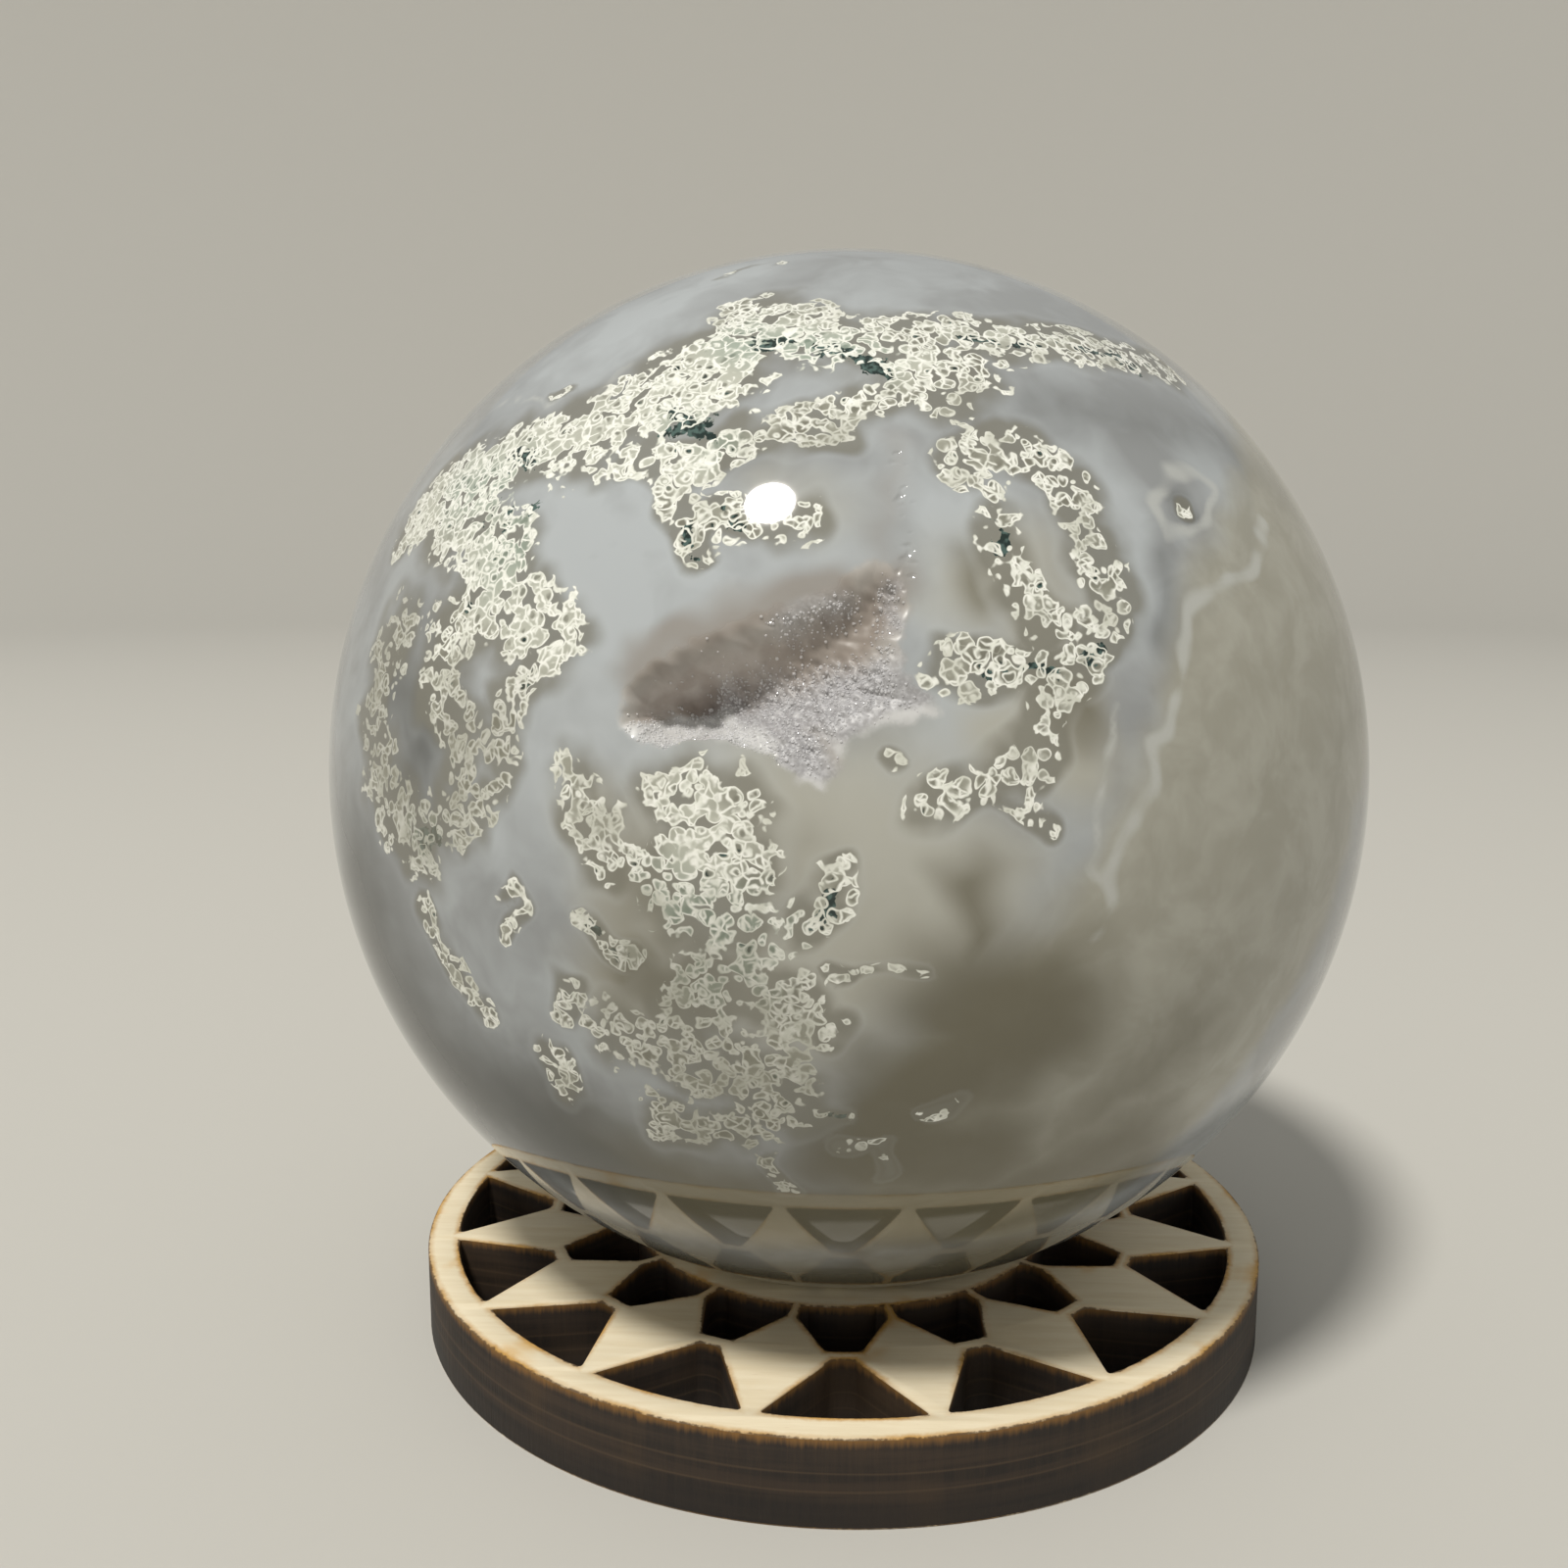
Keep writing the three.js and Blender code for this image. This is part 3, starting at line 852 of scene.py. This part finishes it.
def cavity_depth(places):
    """Depth below the polish of unit vectors, their gap to the mouth (negative inside) and to the seam."""
    view = mouth_frame()
    size = BALL_RADIUS / MM
    outline = flatten(np.array([pixel_on_ball(p) for p in CAVITY_MOUTH]), view)
    bottom = flatten(np.array([pixel_on_ball(p) for p, _ in CAVITY_SPINE]), view)
    stray = [soft_noise(places * size, MOUTH_STRAY_SIZE, seed) for seed in MOUTH_STRAY_SEEDS]
    ragged = flatten(places, view) + MOUTH_STRAY * np.stack(stray, 1)
    edge, _ = gap_to_chain(ragged, np.vstack([outline, outline[:1]]))
    inside = inside_outline(ragged, outline)
    spine, along = gap_to_chain(ragged, bottom)
    deepest = np.interp(along, range(len(CAVITY_SPINE)), [d for _, d in CAVITY_SPINE])
    share = edge / (edge + spine + 1e-9)
    below = ragged[:, 1] < np.interp(ragged[:, 0], bottom[:, 0], bottom[:, 1])
    soft = 0.5 - 0.5 * np.cos(math.pi * share)
    sheer = np.sin(math.pi / 2 * share) ** CAVITY_LIP_SLOPE
    ends = [bottom[0, 0] - LIP_LEAD, bottom[1, 0], bottom[2, 0] + LIP_TAIL]
    lip = np.where(below, np.interp(ragged[:, 0], ends, [0, 1, 0]), 0)
    profile = soft + (sheer - soft) * lip
    depth = np.where(inside & (places @ view[0] > MOUTH_SIDE), deepest * profile, 0.0)
    seam = distance_to_line(places, arc_points([pixel_on_ball(p) for p in CAVITY_SEAM]))
    crumble = soft_noise(places * size, CRUMBLE_SIZE, SEAM_SEED)
    seam_depth = SEAM_DEPTH * np.clip(0.1 - seam / SEAM_HALF_WIDTH + 0.9 * crumble, 0, 1)
    return np.maximum(depth, seam_depth), np.where(inside, -edge, edge), seam


def make_ball():
    """The polished ball, finer at the front and finest in the cavity, which is pressed into it."""
    deselect_all()
    bpy.ops.mesh.primitive_ico_sphere_add(subdivisions=BALL_DETAIL, radius=BALL_RADIUS, location=(0, 0, 0))
    ball = bpy.context.object
    ball.name = "agate_ball"
    front = np.array((CAMERA_PLACE - BALL_CENTRE).normalized())
    centres = face_centres(ball.data)
    centres /= np.linalg.norm(centres, axis=1)[:, None]
    refine_faces(ball, centres @ front > math.cos(FRONT_CAP))
    for _ in range(CAVITY_REFINEMENTS):
        centres = face_centres(ball.data)
        centres /= np.linalg.norm(centres, axis=1)[:, None]
        _, gap, seam = cavity_depth(centres)
        refine_faces(ball, (gap < CAVITY_MARGIN / MM) | (seam < SEAM_HALF_WIDTH))

    places = vertex_places(ball.data)
    unit = places / np.linalg.norm(places, axis=1)[:, None]
    strayed = swayed(unit)
    fields = {name: stroke_field(strayed, strokes) for name, strokes in STROKES.items()}
    patches = soft_noise(unit * BALL_RADIUS / MM, FAR_MOSS_SIZE, FAR_MOSS_SEED)
    hidden = np.clip((math.cos(FAR_START) - unit @ front) / FAR_FADE, 0, 1)
    far = np.clip(0.5 * patches + FAR_MOSS_SHARE, 0, 0.9) * hidden
    fields["moss"] = np.maximum(fields["moss"], far)
    fields["dense"] = np.maximum(fields["dense"], np.clip(0.6 * patches - 0.2, 0, 0.8) * hidden)
    for name, seed in FAR_TINT_SEEDS.items():
        tint = soft_noise(unit * BALL_RADIUS / MM, FAR_TINT_SIZE, seed)
        fields[name] = np.maximum(fields[name], np.clip(0.5 * tint, 0, 0.7) * hidden)
    depth, gap, _ = cavity_depth(unit)
    fields["depth"] = depth / max(d for _, d in CAVITY_SPINE)
    fields["hollow"] = np.clip(0.5 - gap * MM / CAVITY_RIM, 0, 1)
    crust = 0.3 + 0.7 * np.clip(2 * fields["sugar"], 0, 1)
    lumps = soft_noise(unit * BALL_RADIUS / MM, CRUMBLE_SIZE, LINING_SEED)
    rough = LINING_ROUGHNESS * crust * lumps * np.clip(2 * depth, 0, 1)
    pressed = BALL_RADIUS - (depth + rough) * MM
    set_vertex_places(ball.data, unit * pressed[:, None] + np.array(BALL_CENTRE))
    for name, values in fields.items():
        set_attribute(ball.data, name, values)

    ball.data.materials.append(polished_agate())
    corners = np.empty(len(ball.data.polygons) * 3, int)
    ball.data.polygons.foreach_get("vertices", corners)
    hollow = (depth[corners.reshape(-1, 3)] > LINED_DEPTH).sum(1) >= 2
    make_active(ball)
    bpy.ops.object.shade_smooth_by_angle(angle=BALL_CREASE)
    return ball, hollow


def crystal_shape():
    """One quartz point of unit radius: a short six-sided prism with a pointed cap."""
    deselect_all()
    bpy.ops.mesh.primitive_cylinder_add(vertices=CRYSTAL_SIDES, radius=1, depth=2, location=(0, 0, 0))
    point = bpy.context.object
    bpy.ops.object.mode_set(mode="EDIT")
    bpy.ops.mesh.select_all(action="DESELECT")
    bpy.ops.object.mode_set(mode="OBJECT")
    select_faces(point.data, face_centres(point.data)[:, 2] > 0.9)
    bpy.ops.object.mode_set(mode="EDIT")
    bpy.ops.mesh.extrude_region_move(TRANSFORM_OT_translate={"value": (0, 0, CRYSTAL_CAP)})
    bpy.ops.mesh.merge(type="CENTER")
    bpy.ops.object.mode_set(mode="OBJECT")
    return point


def make_crystals(ball, hollow):
    """Quartz points set over the cavity's wall, leaning a little at random."""
    point = crystal_shape()
    shape = vertex_places(point.data)
    faces = [list(f.vertices) for f in point.data.polygons]
    bpy.data.objects.remove(point)

    mesh = ball.data
    places = vertex_places(mesh)
    marks = {}
    for name in ("depth", "sugar", "lip", "mauve"):
        marks[name] = np.empty(len(mesh.vertices))
        mesh.attributes[name].data.foreach_get("value", marks[name])
    corners = np.empty(len(mesh.polygons) * 3, int)
    mesh.polygons.foreach_get("vertices", corners)
    corners = corners.reshape(-1, 3)[hollow]
    a, b, c = (places[corners[:, i]] for i in range(3))
    normal = np.cross(b - a, c - a)
    area = np.linalg.norm(normal, axis=1)
    normal /= area[:, None]

    draw = np.random.default_rng(CRYSTAL_SEED)
    faces_marks = {name: values[corners].mean(1) for name, values in marks.items()}
    crust = np.clip(2 * np.maximum(faces_marks["sugar"], faces_marks["lip"]), 0, 1)
    weight = area * (CRYSTAL_SPARSE + (1 - CRYSTAL_SPARSE) * crust)
    weight = weight * np.clip(12 * faces_marks["depth"], 0.1, 1)
    chosen = draw.choice(len(corners), CRYSTAL_COUNT, p=weight / weight.sum())
    vertices, polygons = [], []
    low, high = CRYSTAL_RADIUS
    for face in chosen:
        u, v = draw.random(2)
        if u + v > 1:
            u, v = 1 - u, 1 - v
        foot = a[face] + u * (b[face] - a[face]) + v * (c[face] - a[face])
        lean = Vector(normal[face]) + Vector(draw.normal(size=3)) * math.tan(CRYSTAL_TILT) * 0.5
        spin = Matrix.Rotation(draw.uniform(0, math.pi), 3, "Z").to_quaternion()
        turn = lean.normalized().to_track_quat("Z", "Y") @ spin
        size = low * (high / low) ** draw.beta(*CRYSTAL_SPREAD)
        size = min(size, (0.08 + 0.9 * faces_marks["depth"][face]) * MM)
        placed = np.array(turn.to_matrix()) @ (shape * size * np.array([1, 1, CRYSTAL_HEIGHT])).T
        start = len(vertices) * len(shape)
        vertices.append(placed.T + foot)
        polygons += [[start + i for i in f] for f in faces]
    made = bpy.data.meshes.new("cavity_crystals")
    made.from_pydata(np.vstack(vertices).tolist(), [], polygons)
    for name, values in faces_marks.items():
        set_attribute(made, name, np.repeat(values[chosen], len(shape)))
    made.materials.append(quartz_points())
    crystals = bpy.data.objects.new("cavity_crystals", made)
    bpy.context.scene.collection.objects.link(crystals)
    return crystals


def ring_outline(radius, count):
    """Points of a circle round the stand's axis."""
    return [(radius * math.cos(t), radius * math.sin(t)) for t in np.arange(count) * 2 * math.pi / count]


def hole_outline(stations):
    """Outline of a wedge-shaped hole on the +X axis: rounded corners and a base that follows its ring."""
    half = [math.asin(width / 2 / radius) for radius, width in stations]
    flank = [Vector((r * math.cos(t), r * math.sin(t))) for (r, _), t in zip(stations, half)]
    mirror = [Vector((p.x, -p.y)) for p in flank]
    spots = np.linspace(-half[0], half[0], BASE_DIVISIONS + 1)[1:-1]
    base = [Vector((math.cos(t), math.sin(t))) * stations[0][0] for t in spots]
    corners = mirror[::-1] + flank
    joint = len(mirror)
    points = []
    for i, corner in enumerate(corners):
        if i == joint:
            points += base
        arrive = (corners[i - 1] - corner).normalized() * HOLE_CORNER + corner
        leave = (corners[(i + 1) % len(corners)] - corner).normalized() * HOLE_CORNER + corner
        for t in np.linspace(0, 1, CORNER_DIVISIONS + 1):
            points.append(arrive * (1 - t) ** 2 + corner * (2 * t * (1 - t)) + leave * t ** 2)
    return [(p.x, p.y) for p in points]


def turned(points, angle):
    c, s = math.cos(angle), math.sin(angle)
    return [(c * x - s * y, s * x + c * y) for x, y in points]


def make_stand():
    """The round board with its seat hole and ring of wedge-shaped holes, cut from one flat drawing."""
    outlines = [ring_outline(STAND_RADIUS, BOARD_DIVISIONS), ring_outline(SEAT_RADIUS, SEAT_DIVISIONS)]
    for stations in (OUTER_HOLE, INNER_HOLE):
        points = hole_outline(stations)
        outlines += [turned(points, PATTERN_START + i * PATTERN_PITCH) for i in range(PATTERN_COUNT)]
    drawing = bpy.data.curves.new("plywood_stand", "CURVE")
    drawing.dimensions = "2D"
    drawing.fill_mode = "BOTH"
    drawing.extrude = STAND_THICKNESS / 2 - EDGE_BEVEL
    drawing.bevel_depth = EDGE_BEVEL
    drawing.bevel_resolution = 1
    drawing.offset = -EDGE_BEVEL
    for points in outlines:
        line = drawing.splines.new("POLY")
        line.points.add(len(points) - 1)
        line.points.foreach_set("co", np.array([(x, y, 0, 1) for x, y in points]).ravel())
        line.use_cyclic_u = True
    stand = bpy.data.objects.new("plywood_stand", drawing)
    bpy.context.scene.collection.objects.link(stand)
    make_active(stand)
    bpy.ops.object.convert(target="MESH")
    stand = bpy.context.object
    stand.location.z = STAND_THICKNESS / 2
    bpy.ops.object.transform_apply(location=True, rotation=True, scale=True)
    bpy.ops.object.mode_set(mode="EDIT")
    bpy.ops.mesh.select_all(action="SELECT")
    bpy.ops.mesh.remove_doubles(threshold=1e-6)
    bpy.ops.mesh.normals_make_consistent(inside=False)
    bpy.ops.object.mode_set(mode="OBJECT")

    stand.data.materials.clear()
    stand.data.materials.append(board_face())
    stand.data.materials.append(burnt_edge())
    normals = np.empty(len(stand.data.polygons) * 3)
    stand.data.polygons.foreach_get("normal", normals)
    walls = np.abs(normals.reshape(-1, 3)[:, 2]) < WALL_TILT
    stand.data.polygons.foreach_set("material_index", walls.astype(int))
    make_active(stand)
    bpy.ops.object.shade_smooth_by_angle(angle=STAND_CREASE)
    return stand


def make_floor():
    """A plain pale floor that sweeps up without a corner far all round."""
    deselect_all()
    bpy.ops.mesh.primitive_circle_add(
        vertices=FLOOR_DIVISIONS, radius=FLOOR_RADIUS, fill_type="TRIFAN", location=(0, 0, FLOOR_LEVEL))
    floor = bpy.context.object
    floor.name = "floor"
    bpy.ops.object.mode_set(mode="EDIT")
    bpy.ops.mesh.select_mode(type="EDGE")
    bpy.ops.mesh.select_all(action="DESELECT")
    bpy.ops.mesh.select_non_manifold()
    bends = [i * math.pi / 2 / SWEEP_STEPS for i in range(SWEEP_STEPS + 1)]
    reaches = [FLOOR_RADIUS + SWEEP_RADIUS * math.sin(bend) for bend in bends]
    for i in range(SWEEP_STEPS):
        rise = SWEEP_RADIUS * (math.cos(bends[i]) - math.cos(bends[i + 1]))
        grow = reaches[i + 1] / reaches[i]
        bpy.ops.mesh.extrude_edges_move(TRANSFORM_OT_translate={"value": (0, 0, rise)})
        bpy.ops.transform.resize(value=(grow, grow, 1))
    bpy.ops.object.mode_set(mode="OBJECT")
    bpy.ops.object.shade_smooth()
    finish = Finish("pale_floor")
    finish.set(base_color=FLOOR_COLOUR, roughness=FLOOR_ROUGHNESS)
    finish.shader.inputs["Specular IOR Level"].default_value = FLOOR_SHINE
    floor.data.materials.append(finish.material)


def make_light():
    lamp = bpy.data.lights.new("studio_lamp", "AREA")
    lamp.shape = "DISK"
    lamp.size = LAMP_SIZE
    lamp.energy = LAMP_POWER
    lamp.color = LAMP_COLOUR
    holder = bpy.data.objects.new("studio_lamp", lamp)
    holder.location = BALL_CENTRE + LAMP_DIRECTION * LAMP_DISTANCE
    holder.rotation_euler = LAMP_DIRECTION.to_track_quat("Z", "Y").to_euler()
    bpy.context.scene.collection.objects.link(holder)

    ambient = bpy.data.worlds.new("ambient_light")
    ambient.use_nodes = True
    background = ambient.node_tree.nodes["Background"]
    background.inputs["Color"].default_value = (*AMBIENT_LIGHT, 1.0)
    background.inputs["Strength"].default_value = AMBIENT_STRENGTH
    bpy.context.scene.world = ambient


def make_camera():
    lens = bpy.data.cameras.new("camera")
    lens.sensor_fit = "HORIZONTAL"
    lens.sensor_width = SENSOR_WIDTH
    lens.lens = SENSOR_WIDTH * FOCAL_PIXELS / PHOTO_PIXELS
    lens.clip_start = CLIP_START
    camera = bpy.data.objects.new("camera", lens)
    camera.location = CAMERA_PLACE
    camera.rotation_euler = CAMERA_TURN.to_euler()
    bpy.context.scene.collection.objects.link(camera)
    bpy.context.scene.camera = camera


bpy.context.scene.view_settings.view_transform = "Standard"
make_camera()
make_floor()
make_light()

agate_ball, hollow_faces = make_ball()
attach(agate_ball, "root")
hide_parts("agate_sphere")

cavity_crystals = make_crystals(agate_ball, hollow_faces)
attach(cavity_crystals, "root")

plywood_stand = make_stand()
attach(plywood_stand, "root")
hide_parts("laser_cut_stand")
